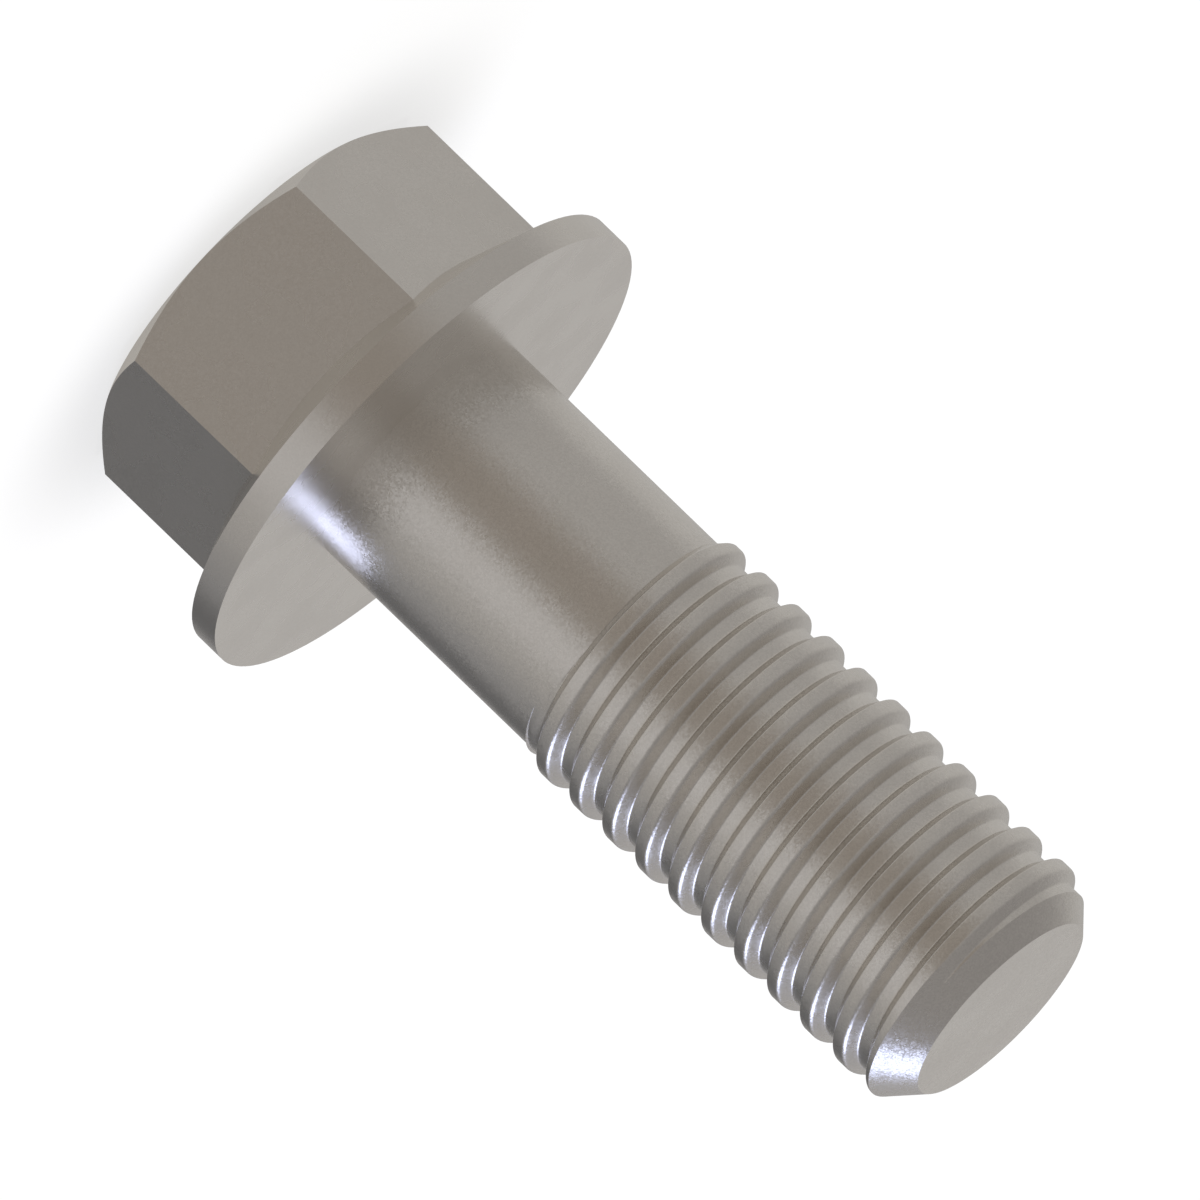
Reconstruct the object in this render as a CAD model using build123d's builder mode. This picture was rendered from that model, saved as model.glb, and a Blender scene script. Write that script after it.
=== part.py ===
from build123d import *
import math
import os

# Hex flange bolt with a reduced plain shank and a rolled right-hand thread.
# One forged and rolled steel piece, so one solid in one node.
# Millimetres. It stands on its head: the origin is the centre of the head's end face,
# and +Z runs along the bolt to the tip of the thread.

# Hexagon
across_flats = 10.85
head_height = 6.51  # end of the head to the bearing face of the flange
crown_circle_diameter = 10.80  # flat circle left on the end of the head by its chamfer
crown_chamfer_angle = 32.7  # degrees, falling from that circle towards the corners

# Flange
flange_diameter = 15.22
rim_thickness = 0.87  # straight edge of the flange
flange_slope_angle = 25.5  # degrees, rising from the rim to the hexagon

# Shank
shank_diameter = 7.27
bearing_fillet_radius = 0.12
length_under_flange = 21.90

# Thread
pitch = 1.25
thread_diameter = 7.88
thread_depth = 0.33
crest_width = 0.40
flank_half_angle = 35.0  # degrees from a plane square to the axis
first_crest_height = 8.65  # bearing face to the first full crest, measured over +X
runout_height = 7.66  # bearing face to where the thread starts to rise from the shank
runout_angle = 45.0  # degrees between the rise and the axis

# Tip
tip_chamfer_angle = 45.0  # degrees between the chamfer and the axis
tip_chamfer_length = 0.92

# Depths by which joined bodies reach into each other before they become one
ridge_sink = 0.15
overrun = 1.0

# Levels and radii that follow from the sizes above
bearing_z = head_height
rim_top_z = bearing_z - rim_thickness
tip_z = bearing_z + length_under_flange
hexagon_radius = across_flats / 2
corner_radius = hexagon_radius / math.cos(math.radians(30))
crown_radius = crown_circle_diameter / 2
flange_radius = flange_diameter / 2
shank_radius = shank_diameter / 2
thread_radius = thread_diameter / 2
flange_slope = math.tan(math.radians(flange_slope_angle))
crown_slope = math.tan(math.radians(crown_chamfer_angle))
flank_slope = math.tan(math.radians(flank_half_angle))
runout_slope = math.tan(math.radians(runout_angle))
tip_slope = math.tan(math.radians(tip_chamfer_angle))
root_radius = thread_radius - thread_depth
ridge_root_radius = root_radius - ridge_sink
full_thread_z = bearing_z + runout_height + (thread_radius - shank_radius) / runout_slope
core_step_z = full_thread_z - abs(shank_radius - root_radius) / runout_slope
helix_start_z = bearing_z + first_crest_height - 2 * pitch
helix_height = tip_z + pitch - helix_start_z

# Hexagonal prism with the corners of its end chamfered by a cone
with BuildPart() as hexagon:
    with BuildSketch():
        RegularPolygon(hexagon_radius, 6, major_radius=False)
    extrude(amount=rim_top_z)
    with BuildSketch(Plane.XZ):
        with BuildLine():
            outer_radius = corner_radius + overrun
            shoulder_z = (outer_radius - crown_radius) * crown_slope
            Polyline(
                (0, 0),
                (crown_radius, 0),
                (outer_radius, shoulder_z),
                (outer_radius, rim_top_z),
                (0, rim_top_z),
                close=True,
            )
        make_face()
    revolve(axis=Axis.Z, mode=Mode.INTERSECT)

# One ridge of the thread, swept along its helix and cut to the run-out cone near the shank
with BuildPart() as ridge:
    with BuildLine():
        thread_path = Helix(pitch, helix_height, ridge_root_radius, center=(0, 0, helix_start_z))
    with BuildSketch(Plane.XZ):
        with BuildLine():
            crest_half = crest_width / 2
            root_half = crest_half + (thread_radius - ridge_root_radius) * flank_slope
            Polyline(
                (ridge_root_radius, helix_start_z - root_half),
                (thread_radius, helix_start_z - crest_half),
                (thread_radius, helix_start_z + crest_half),
                (ridge_root_radius, helix_start_z + root_half),
                close=True,
            )
        make_face()
    sweep(path=thread_path, is_frenet=True)
    with BuildSketch(Plane.XZ):
        with BuildLine():
            hidden_radius = min(shank_radius, root_radius) - ridge_sink / 2
            clear_radius = thread_radius + overrun
            rise_start_z = bearing_z + runout_height - (shank_radius - hidden_radius) / runout_slope
            rise_end_z = rise_start_z + (clear_radius - hidden_radius) / runout_slope
            Polyline(
                (0, helix_start_z - pitch),
                (hidden_radius, helix_start_z - pitch),
                (hidden_radius, rise_start_z),
                (clear_radius, rise_end_z),
                (clear_radius, tip_z + overrun / 2),
                (0, tip_z + overrun / 2),
                close=True,
            )
        make_face()
    revolve(axis=Axis.Z, mode=Mode.INTERSECT)

with BuildPart() as flange_bolt:
    # Flange, shank and the core of the thread, turned about the axis
    with BuildSketch(Plane.XZ):
        with BuildLine():
            cone_top_z = rim_top_z - (flange_radius - shank_radius) * flange_slope
            Polyline(
                (0, cone_top_z),
                (shank_radius, cone_top_z),
                (flange_radius, rim_top_z),
                (flange_radius, bearing_z),
                (shank_radius, bearing_z),
                (shank_radius, core_step_z),
                (root_radius, full_thread_z),
                (root_radius, tip_z + overrun),
                (0, tip_z + overrun),
                close=True,
            )
        make_face()
    revolve(axis=Axis.Z)
    bearing_corner = (
        flange_bolt.edges()
        .filter_by(GeomType.CIRCLE)
        .filter_by_position(Axis.Z, bearing_z, bearing_z)
        .sort_by(SortBy.RADIUS)[0]
    )
    fillet(bearing_corner, bearing_fillet_radius)

    add(hexagon.part)
    add(ridge.part)

    # Chamfer and end face of the tip, cut through core and thread together
    with BuildSketch(Plane.XZ):
        with BuildLine():
            tip_radius = thread_radius - tip_chamfer_length * tip_slope
            cut_radius = thread_radius + overrun
            cut_start_z = tip_z - (cut_radius - tip_radius) / tip_slope
            Polyline(
                (0, tip_z),
                (tip_radius, tip_z),
                (cut_radius, cut_start_z),
                (cut_radius, tip_z + 2 * overrun),
                (0, tip_z + 2 * overrun),
                close=True,
            )
        make_face()
    revolve(axis=Axis.Z, mode=Mode.SUBTRACT)

flange_bolt.part.label = "flange_bolt"

os.makedirs("parts", exist_ok=True)
export_step(flange_bolt.part, "parts/flange_bolt.step")
print("solids", len(flange_bolt.part.solids()), "volume", round(flange_bolt.part.volume, 3))
print("valid", flange_bolt.part.is_valid, "size", flange_bolt.part.bounding_box().size)
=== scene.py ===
import math

import bmesh
import bpy
from mathutils import Matrix, Vector


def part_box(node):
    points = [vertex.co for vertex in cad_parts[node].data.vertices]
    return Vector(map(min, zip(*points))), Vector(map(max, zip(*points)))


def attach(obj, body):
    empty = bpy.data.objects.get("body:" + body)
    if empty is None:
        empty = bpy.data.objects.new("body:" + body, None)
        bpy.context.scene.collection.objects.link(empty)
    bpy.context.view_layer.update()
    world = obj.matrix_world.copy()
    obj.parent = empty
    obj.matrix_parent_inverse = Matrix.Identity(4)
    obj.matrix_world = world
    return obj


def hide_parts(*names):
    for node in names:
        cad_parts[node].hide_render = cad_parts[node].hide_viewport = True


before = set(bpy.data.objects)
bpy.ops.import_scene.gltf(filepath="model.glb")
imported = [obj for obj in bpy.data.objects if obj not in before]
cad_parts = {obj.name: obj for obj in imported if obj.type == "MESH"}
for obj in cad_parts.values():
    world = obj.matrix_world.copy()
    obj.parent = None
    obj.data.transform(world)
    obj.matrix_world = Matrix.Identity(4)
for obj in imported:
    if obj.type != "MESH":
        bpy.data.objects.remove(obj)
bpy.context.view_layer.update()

# Metres. The bolt stands on its head: its end face is on the floor and +Z runs to the tip.
MM = 0.001
UP = Vector((0, 0, 1))

# Camera. It sees the bolt from the side, a little from above, and is rolled so that the bolt lies
# across the picture. The bolt's axis passes beside the picture's middle by the offset.
FRAME_PIXELS = 1200
PIXELS_PER_MM = 38.02
AXIS_OFFSET_PIXELS = 15.95
CAMERA_AZIMUTH = math.radians(-94.55)
CAMERA_ELEVATION = math.radians(15.5)
CAMERA_ROLL = math.radians(44.0)
AIM_HEIGHT = 12.794 * MM
CAMERA_DISTANCE = 0.2
CLIP_NEAR = 0.001
CLIP_FAR = 10


def add_camera():
    forward = Vector((math.cos(CAMERA_AZIMUTH), math.sin(CAMERA_AZIMUTH), 0))
    towards = forward * math.cos(CAMERA_ELEVATION) + UP * math.sin(CAMERA_ELEVATION)
    axis_seen = UP * math.cos(CAMERA_ELEVATION) - forward * math.sin(CAMERA_ELEVATION)
    side = forward.cross(UP)
    right = axis_seen * math.cos(CAMERA_ROLL) + side * math.sin(CAMERA_ROLL)
    top = side * math.cos(CAMERA_ROLL) - axis_seen * math.sin(CAMERA_ROLL)
    data = bpy.data.cameras.new("camera")
    data.type = "ORTHO"
    data.ortho_scale = FRAME_PIXELS / PIXELS_PER_MM * MM
    data.clip_start = CLIP_NEAR
    data.clip_end = CLIP_FAR
    camera = bpy.data.objects.new("camera", data)
    bpy.context.scene.collection.objects.link(camera)
    offset = AXIS_OFFSET_PIXELS / PIXELS_PER_MM * MM
    spot = UP * AIM_HEIGHT + side * offset + towards * CAMERA_DISTANCE
    turn = Matrix((right, top, towards)).transposed().to_4x4()
    camera.matrix_world = Matrix.Translation(spot) @ turn
    bpy.context.scene.camera = camera


add_camera()


# Nodes that the world and the steel share
def feed(tree, socket, value):
    """Links an output to the socket, or sets a plain value on it."""
    if isinstance(value, bpy.types.NodeSocket):
        tree.links.new(value, socket)
    else:
        socket.default_value = value


def map_range(tree, value, start, end, low=0, high=1, kind="LINEAR"):
    """Goes from low to high as the value goes from start to end."""
    node = tree.nodes.new("ShaderNodeMapRange")
    node.interpolation_type = kind
    limits = {"From Min": start, "From Max": end, "To Min": low, "To Max": high}
    for name, limit in limits.items():
        feed(tree, node.inputs[name], limit)
    feed(tree, node.inputs["Value"], value)
    return node.outputs["Result"]


def mix_colour(tree, factor, first, second):
    """The first colour where the factor is 0, the second where it is 1."""
    node = tree.nodes.new("ShaderNodeMix")
    node.data_type = "RGBA"
    feed(tree, node.inputs["Factor"], factor)
    for name, colour in (("A", first), ("B", second)):
        feed(tree, node.inputs[name], (*colour, 1) if isinstance(colour, tuple) else colour)
    return node.outputs["Result"]


def vector_math(tree, operation, vector, other=None):
    """The operation on a vector and, where it needs one, on another vector or a scale."""
    node = tree.nodes.new("ShaderNodeVectorMath")
    node.operation = operation
    feed(tree, node.inputs[0], vector)
    if other is not None:
        feed(tree, node.inputs["Scale" if operation == "SCALE" else 1], other)
    return node.outputs["Value" if operation == "DOT_PRODUCT" else "Vector"]


# Soft studio, which the metal mirrors. The surround changes with its height, the Z of a direction of
# length 1, in four bands that run softly into each other.
SURROUND_GROUND = (0.45, 0.45, 0.45)
SURROUND_LOW = (0.54, 0.52, 0.49)
SURROUND_MIDDLE = (0.42, 0.41, 0.40)
SURROUND_HIGH = (0.31, 0.30, 0.295)
GROUND_TO_LOW = (-0.90, -0.66)
LOW_TO_MIDDLE = (-0.56, -0.30)
MIDDLE_TO_HIGH = (0.25, 0.80)

# Soft round areas over the surround, each laid over the ones before it: panels, which are lighter than
# the surround, flags, which are darker, and a lamp. Each has the azimuth of its middle from the camera's
# side, its elevation, the angles from its middle at which it starts and is full, and its colour. Angles
# are in degrees, and azimuths are positive towards the upper right of the picture.
SOFT_AREAS = {
    "side_panel": (142, -14, 43, 12, (0.55, 0.54, 0.525)),
    "front_flag": (8, -9, 40, 4, (0.306, 0.276, 0.246)),
    "key_panel": (-41, -6, 31, 5, (0.585, 0.575, 0.575)),
    "high_flag": (-84, 14, 24, 4, (0.25, 0.245, 0.245)),
    "side_flag": (-122, -28, 42, 6, (0.28, 0.28, 0.285)),
    "dark_flag": (-141, -21, 26, 6, (0.135, 0.135, 0.137)),
    "back_panel": (180, 16, 23, 4, (0.575, 0.565, 0.555)),
    "lamp": (-120, 23, 21, 2, (2.45, 2.75, 3.9)),
}


def studio_direction(azimuth, elevation):
    turn = CAMERA_AZIMUTH - math.radians(azimuth)
    rise = math.radians(elevation)
    return Vector((math.cos(turn) * math.cos(rise), math.sin(turn) * math.cos(rise), math.sin(rise)))


def add_world():
    world = bpy.data.worlds.new("studio")
    bpy.context.scene.world = world
    world.use_nodes = True
    tree = world.node_tree
    direction = tree.nodes.new("ShaderNodeTexCoord").outputs["Generated"]
    split = tree.nodes.new("ShaderNodeSeparateXYZ")
    feed(tree, split.inputs[0], direction)
    colour = SURROUND_GROUND
    bands = (
        (GROUND_TO_LOW, SURROUND_LOW),
        (LOW_TO_MIDDLE, SURROUND_MIDDLE),
        (MIDDLE_TO_HIGH, SURROUND_HIGH),
    )
    for heights, band_colour in bands:
        share = map_range(tree, split.outputs["Z"], *heights, kind="SMOOTHSTEP")
        colour = mix_colour(tree, share, colour, band_colour)
    for azimuth, elevation, outer, inner, area_colour in SOFT_AREAS.values():
        middle = studio_direction(azimuth, elevation)
        nearness = vector_math(tree, "DOT_PRODUCT", direction, middle)
        edges = [math.cos(math.radians(angle)) for angle in (outer, inner)]
        share = map_range(tree, nearness, *edges, kind="SMOOTHSTEP")
        colour = mix_colour(tree, share, colour, area_colour)
    feed(tree, tree.nodes["Background"].inputs["Color"], colour)


add_world()

# Floor: matt and pale. What the camera sees of it is in part plain white, which makes the shadow on it
# faint. The metal mirrors the surround and not the floor.
FLOOR_SIZE = 4.0
FLOOR_COLOUR = (0.95, 0.95, 0.95)
FLOOR_WHITE_SHARE = 0.7


def floor_material():
    material = bpy.data.materials.new("floor")
    material.use_nodes = True
    nodes = material.node_tree.nodes
    links = material.node_tree.links
    nodes.remove(nodes["Principled BSDF"])
    matt = nodes.new("ShaderNodeBsdfDiffuse")
    matt.inputs["Color"].default_value = (*FLOOR_COLOUR, 1)
    white = nodes.new("ShaderNodeEmission")
    paths = nodes.new("ShaderNodeLightPath")
    seen = paths.outputs["Is Camera Ray"]
    for name in ("Is Glossy Ray", "Is Transmission Ray"):
        either = nodes.new("ShaderNodeMath")
        either.operation = "MAXIMUM"
        links.new(seen, either.inputs[0])
        links.new(paths.outputs[name], either.inputs[1])
        seen = either.outputs[0]
    share = nodes.new("ShaderNodeMath")
    share.operation = "MULTIPLY"
    share.inputs[1].default_value = FLOOR_WHITE_SHARE
    links.new(seen, share.inputs[0])
    mix = nodes.new("ShaderNodeMixShader")
    links.new(share.outputs[0], mix.inputs[0])
    links.new(matt.outputs[0], mix.inputs[1])
    links.new(white.outputs[0], mix.inputs[2])
    links.new(mix.outputs[0], nodes["Material Output"].inputs["Surface"])
    return material


def add_floor():
    half = FLOOR_SIZE / 2
    corners = [(-half, -half, 0), (half, -half, 0), (half, half, 0), (-half, half, 0)]
    mesh = bpy.data.meshes.new("floor")
    mesh.from_pydata(corners, [], [(0, 1, 2, 3)])
    mesh.materials.append(floor_material())
    floor = bpy.data.objects.new("floor", mesh)
    floor.visible_glossy = False
    bpy.context.scene.collection.objects.link(floor)


add_floor()

# A broad lamp over the bolt. With the studio it lights the floor to about its own colour.
OVERHEAD_HEIGHT = 1.2
OVERHEAD_SIZE = 1.0
OVERHEAD_POWER = 13.0


def add_overhead():
    light = bpy.data.lights.new("overhead", "AREA")
    light.shape = "DISK"
    light.size = OVERHEAD_SIZE
    light.energy = OVERHEAD_POWER
    lamp = bpy.data.objects.new("overhead", light)
    lamp.location = (0, 0, OVERHEAD_HEIGHT)
    lamp.visible_glossy = False
    lamp.visible_camera = False
    bpy.context.scene.collection.objects.link(lamp)


add_overhead()

# Sizes of the bolt, in millimetres. The flange's radius and the length come from the frame.
box_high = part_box("flange_bolt")[1]
FLANGE_RADIUS = box_high.x / MM
TIP_Z = box_high.z / MM
HEAD_HEIGHT = 6.51
RIM_THICKNESS = 0.87
FLANGE_SLOPE = math.tan(math.radians(25.5))
ACROSS_FLATS = 10.85
HEXAGON_RADIUS = ACROSS_FLATS / 2
CROWN_DIAMETER = 10.80
CROWN_RADIUS = CROWN_DIAMETER / 2
CROWN_SLOPE = math.tan(math.radians(32.7))
SHANK_DIAMETER = 7.27
SHANK_RADIUS = SHANK_DIAMETER / 2
PITCH = 1.25
THREAD_DIAMETER = 7.88
THREAD_RADIUS = THREAD_DIAMETER / 2
THREAD_DEPTH = 0.33
ROOT_RADIUS = THREAD_RADIUS - THREAD_DEPTH
CREST_WIDTH = 0.40
FLANK_SLOPE = math.tan(math.radians(35.0))
TIP_CHAMFER = 0.92

# The first full crest over +X and the start of the run-out, by their heights over the bearing face
FIRST_CREST_HEIGHT = 8.65
RUNOUT_HEIGHT = 7.66
FIRST_CREST_Z = HEAD_HEIGHT + FIRST_CREST_HEIGHT
RUNOUT_Z = HEAD_HEIGHT + RUNOUT_HEIGHT
FULL_THREAD_Z = RUNOUT_Z + THREAD_RADIUS - SHANK_RADIUS

# Radii of the thread's corners, as rolled: on the crest's side towards the head, on its side towards the
# tip, and at both sides of the root
CREST_ROUND = 0.05
CREST_ROUND_TIP_SIDE = 0.16
ROOT_ROUND = 0.08

# The mesh: columns round the axis, points on each arc, and steps on each straight run of the thread's
# profile that is long enough to divide. Points nearer than the merging distance, in metres, become one.
COLUMNS = 120
ARC_POINTS = 6
RUN_STEPS = 3
SHORTEST_DIVIDED_RUN = 0.2
MERGE_DISTANCE = 2e-7
SHARP_ANGLE = math.radians(28)


def rounded(corners, radii):
    """Points (z, r) of a line through the corners, with an arc of its radius at each inner one."""
    line = [corners[0]]
    for before, corner, after, radius in zip(corners, corners[1:], corners[2:], radii):
        here = Vector(corner)
        back = (Vector(before) - here).normalized()
        ahead = (Vector(after) - here).normalized()
        half = back.angle(ahead) / 2
        centre = here + (back + ahead).normalized() * (radius / math.sin(half))
        start = here + back * (radius / math.tan(half)) - centre
        end = here + ahead * (radius / math.tan(half)) - centre
        for k in range(ARC_POINTS):
            spoke = start.lerp(end, k / (ARC_POINTS - 1)).normalized() * radius
            line.append(tuple(centre + spoke))
    return line + [corners[-1]]


def divided(line):
    """The same line with each long run cut into equal steps, and without its last point."""
    points = []
    for first, second in zip(line, line[1:]):
        steps = RUN_STEPS if math.dist(first, second) > SHORTEST_DIVIDED_RUN else 1
        points += [tuple(Vector(first).lerp(Vector(second), k / steps)) for k in range(steps)]
    return points


def thread_profile():
    """One pitch of the thread as points (z, r), from the middle of a crest to just before the next."""
    crest = CREST_WIDTH / 2
    foot = crest + THREAD_DEPTH * FLANK_SLOPE
    corners = [
        (0, THREAD_RADIUS),
        (crest, THREAD_RADIUS),
        (foot, ROOT_RADIUS),
        (PITCH - foot, ROOT_RADIUS),
        (PITCH - crest, THREAD_RADIUS),
        (PITCH, THREAD_RADIUS),
    ]
    radii = (CREST_ROUND_TIP_SIDE, ROOT_ROUND, ROOT_ROUND, CREST_ROUND)
    return divided(rounded(corners, radii))


def core_radius(z):
    """The shank, and past the run-out the core of the thread."""
    step = FULL_THREAD_Z - (SHANK_RADIUS - ROOT_RADIUS)
    return min(max(SHANK_RADIUS - (z - step), ROOT_RADIUS), SHANK_RADIUS)


def limit_radius(z):
    """The cone of the run-out and the chamfer of the tip, both of 45 degrees, which cut the thread."""
    rise = SHANK_RADIUS + max(z - RUNOUT_Z, 0)
    fall = THREAD_RADIUS - TIP_CHAMFER + max(TIP_Z - z, 0)
    return min(rise, fall)


def thread_column(turn):
    """Points (z, r, on a cut edge) up the threaded length, at this share of a turn from +X.

    Where the profile crosses the run-out's cone or the tip's chamfer, its nearer point moves onto the
    crossing, so that the edge there is sharp.
    """
    profile = thread_profile()
    low = math.floor((RUNOUT_Z - FIRST_CREST_Z) / PITCH) - 1
    high = math.ceil((TIP_Z - FIRST_CREST_Z) / PITCH) + 1
    points = []
    for k in range(low, high):
        for z, r in profile:
            level = min(max(FIRST_CREST_Z + (k + turn) * PITCH + z, RUNOUT_Z), TIP_Z)
            points.append([level, max(r, core_radius(level)), False])
    for here, above in zip(points, points[1:]):
        gap = here[1] - limit_radius(here[0])
        gap_above = above[1] - limit_radius(above[0])
        if gap * gap_above < 0 and above[0] > here[0]:
            share = gap / (gap - gap_above)
            nearer = here if share < 0.5 else above
            z = here[0] + (above[0] - here[0]) * share
            nearer[:] = [z, limit_radius(z), True]
    return [(z, min(r, limit_radius(z)), cut) for z, r, cut in points]


def hexagon_radius(turn):
    """From the axis to the side of the hexagon, at this share of a turn from a corner on +X."""
    return HEXAGON_RADIUS / math.cos(math.radians(360 * turn % 60 - 30))


def head_rows(turns):
    """Rows of points (z, r) over the head, the flange and the plain shank, one point a column."""
    sides = [hexagon_radius(turn) for turn in turns]
    rim_z = HEAD_HEIGHT - RIM_THICKNESS
    crown = [(0, CROWN_RADIUS)] * COLUMNS
    shoulder = [((r - CROWN_RADIUS) * CROWN_SLOPE, r) for r in sides]
    foot = [(rim_z - (FLANGE_RADIUS - r) * FLANGE_SLOPE, r) for r in sides]
    corners = [
        (rim_z, FLANGE_RADIUS),
        (HEAD_HEIGHT, FLANGE_RADIUS),
        (HEAD_HEIGHT, SHANK_RADIUS),
        (RUNOUT_Z, SHANK_RADIUS),
    ]
    return [crown, shoulder, foot] + [[corner] * COLUMNS for corner in corners]


def bolt_mesh():
    """The whole bolt as one closed mesh, from the end of the head to the tip."""
    turns = [j / COLUMNS for j in range(COLUMNS)]
    spokes = [Vector((math.cos(2 * math.pi * t), math.sin(2 * math.pi * t), 0)) for t in turns]
    mesh = bmesh.new()

    def vertex(spoke, z, r):
        return mesh.verts.new((spoke * r + UP * z) * MM)

    rings = [[vertex(spoke, *point) for spoke, point in zip(spokes, row)] for row in head_rows(turns)]
    for first, second in zip(rings, rings[1:]):
        for j in range(COLUMNS):
            mesh.faces.new((first[j], first[j - 1], second[j - 1], second[j]))
    mesh.faces.new(rings[0])

    # Each row of the thread follows the helix, so a full turn later it is the row one pitch further on.
    # A quad between points on a cut edge is split along that edge.
    columns = [thread_column(turn) for turn in turns]
    verts = [[vertex(spoke, z, r) for z, r, cut in column] for spoke, column in zip(spokes, columns)]
    cuts = [[cut for z, r, cut in column] for column in columns]
    per_pitch = len(thread_profile())
    for j in range(COLUMNS):
        k = (j + 1) % COLUMNS
        shift = per_pitch if k == 0 else 0
        for i in range(len(verts[j]) - 1 - shift):
            a = verts[j][i]
            b = verts[k][i + shift]
            c = verts[k][i + 1 + shift]
            d = verts[j][i + 1]
            if cuts[k][i + shift] and cuts[j][i + 1]:
                mesh.faces.new((a, b, d))
                mesh.faces.new((b, c, d))
            else:
                mesh.faces.new((a, b, c, d))

    # The thread's lowest points close up on the shank's last ring, and one face closes the tip
    bmesh.ops.remove_doubles(mesh, verts=mesh.verts, dist=MERGE_DISTANCE)
    bmesh.ops.holes_fill(mesh, edges=mesh.edges, sides=COLUMNS)
    bmesh.ops.recalc_face_normals(mesh, faces=mesh.faces)
    return mesh


def add_bolt(material):
    mesh = bpy.data.meshes.new("bolt")
    built = bolt_mesh()
    built.to_mesh(mesh)
    built.free()
    mesh.polygons.foreach_set("use_smooth", [True] * len(mesh.polygons))
    mesh.set_sharp_from_angle(angle=SHARP_ANGLE)
    mesh.materials.append(material)
    bolt = bpy.data.objects.new("bolt", mesh)
    bpy.context.scene.collection.objects.link(bolt)
    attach(bolt, "root")
    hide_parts("flange_bolt")


# Bare steel: bright where it is clean, a touch darker and rougher in slow patches. The patches start at
# the first share of the noise and are full at the second.
STEEL_CLEAN = (0.725, 0.695, 0.655)
STEEL_DULL = (0.71, 0.68, 0.64)
ROUGHNESS_CLEAN = 0.26
ROUGHNESS_DULL = 0.29
PATCH_SIZE = 1.6 * MM
PATCH_DETAIL = 3
PATCH_SHARES = (0.35, 0.65)

# Its grain is a layer of tiny facets. Each is tilted and shaded a little its own way, less on the head
# than on the shank and the thread. The amounts grow over a short rise above the bearing face.
GRAIN_SIZE = 0.045 * MM
GRAIN_TILT_HEAD = 0.035
GRAIN_TILT_SHANK = 0.09
GRAIN_SHADE_HEAD = 0.025
GRAIN_SHADE_SHANK = 0.05
GRAIN_RISE = 0.3 * MM


def dull_patches(tree, place):
    """0 on clean steel to 1 on dull steel."""
    noise = tree.nodes.new("ShaderNodeTexNoise")
    noise.inputs["Scale"].default_value = 1 / PATCH_SIZE
    noise.inputs["Detail"].default_value = PATCH_DETAIL
    feed(tree, noise.inputs["Vector"], place)
    return map_range(tree, noise.outputs["Fac"], *PATCH_SHARES)


def steel_grain(tree, place):
    """The normal of each facet, and its shade as a factor near 1."""
    split = tree.nodes.new("ShaderNodeSeparateXYZ")
    feed(tree, split.inputs[0], place)
    height = split.outputs["Z"]
    start = HEAD_HEIGHT * MM
    end = start + GRAIN_RISE

    facets = tree.nodes.new("ShaderNodeTexVoronoi")
    facets.inputs["Scale"].default_value = 1 / GRAIN_SIZE
    feed(tree, facets.inputs["Vector"], place)
    tilt = vector_math(tree, "SUBTRACT", facets.outputs["Color"], (0.5, 0.5, 0.5))
    amount = map_range(tree, height, start, end, GRAIN_TILT_HEAD, GRAIN_TILT_SHANK)
    tilt = vector_math(tree, "SCALE", tilt, amount)
    surface = tree.nodes.new("ShaderNodeNewGeometry").outputs["Normal"]
    normal = vector_math(tree, "NORMALIZE", vector_math(tree, "ADD", surface, tilt))

    chance = tree.nodes.new("ShaderNodeTexWhiteNoise")
    feed(tree, chance.inputs["Vector"], facets.outputs["Color"])
    darkest = map_range(tree, height, start, end, 1 - GRAIN_SHADE_HEAD, 1 - GRAIN_SHADE_SHANK)
    lightest = map_range(tree, height, start, end, 1 + GRAIN_SHADE_HEAD, 1 + GRAIN_SHADE_SHANK)
    return normal, map_range(tree, chance.outputs["Value"], 0, 1, darkest, lightest)


def steel_material():
    steel = bpy.data.materials.new("steel")
    steel.use_nodes = True
    tree = steel.node_tree
    shader = tree.nodes["Principled BSDF"]
    shader.inputs["Metallic"].default_value = 1
    place = tree.nodes.new("ShaderNodeTexCoord").outputs["Object"]
    dullness = dull_patches(tree, place)
    normal, shade = steel_grain(tree, place)
    colour = mix_colour(tree, dullness, STEEL_CLEAN, STEEL_DULL)
    roughness = map_range(tree, dullness, 0, 1, ROUGHNESS_CLEAN, ROUGHNESS_DULL)
    feed(tree, shader.inputs["Base Color"], vector_math(tree, "SCALE", colour, shade))
    feed(tree, shader.inputs["Roughness"], roughness)
    feed(tree, shader.inputs["Normal"], normal)
    return steel


add_bolt(steel_material())

bpy.context.scene.view_settings.view_transform = "Standard"
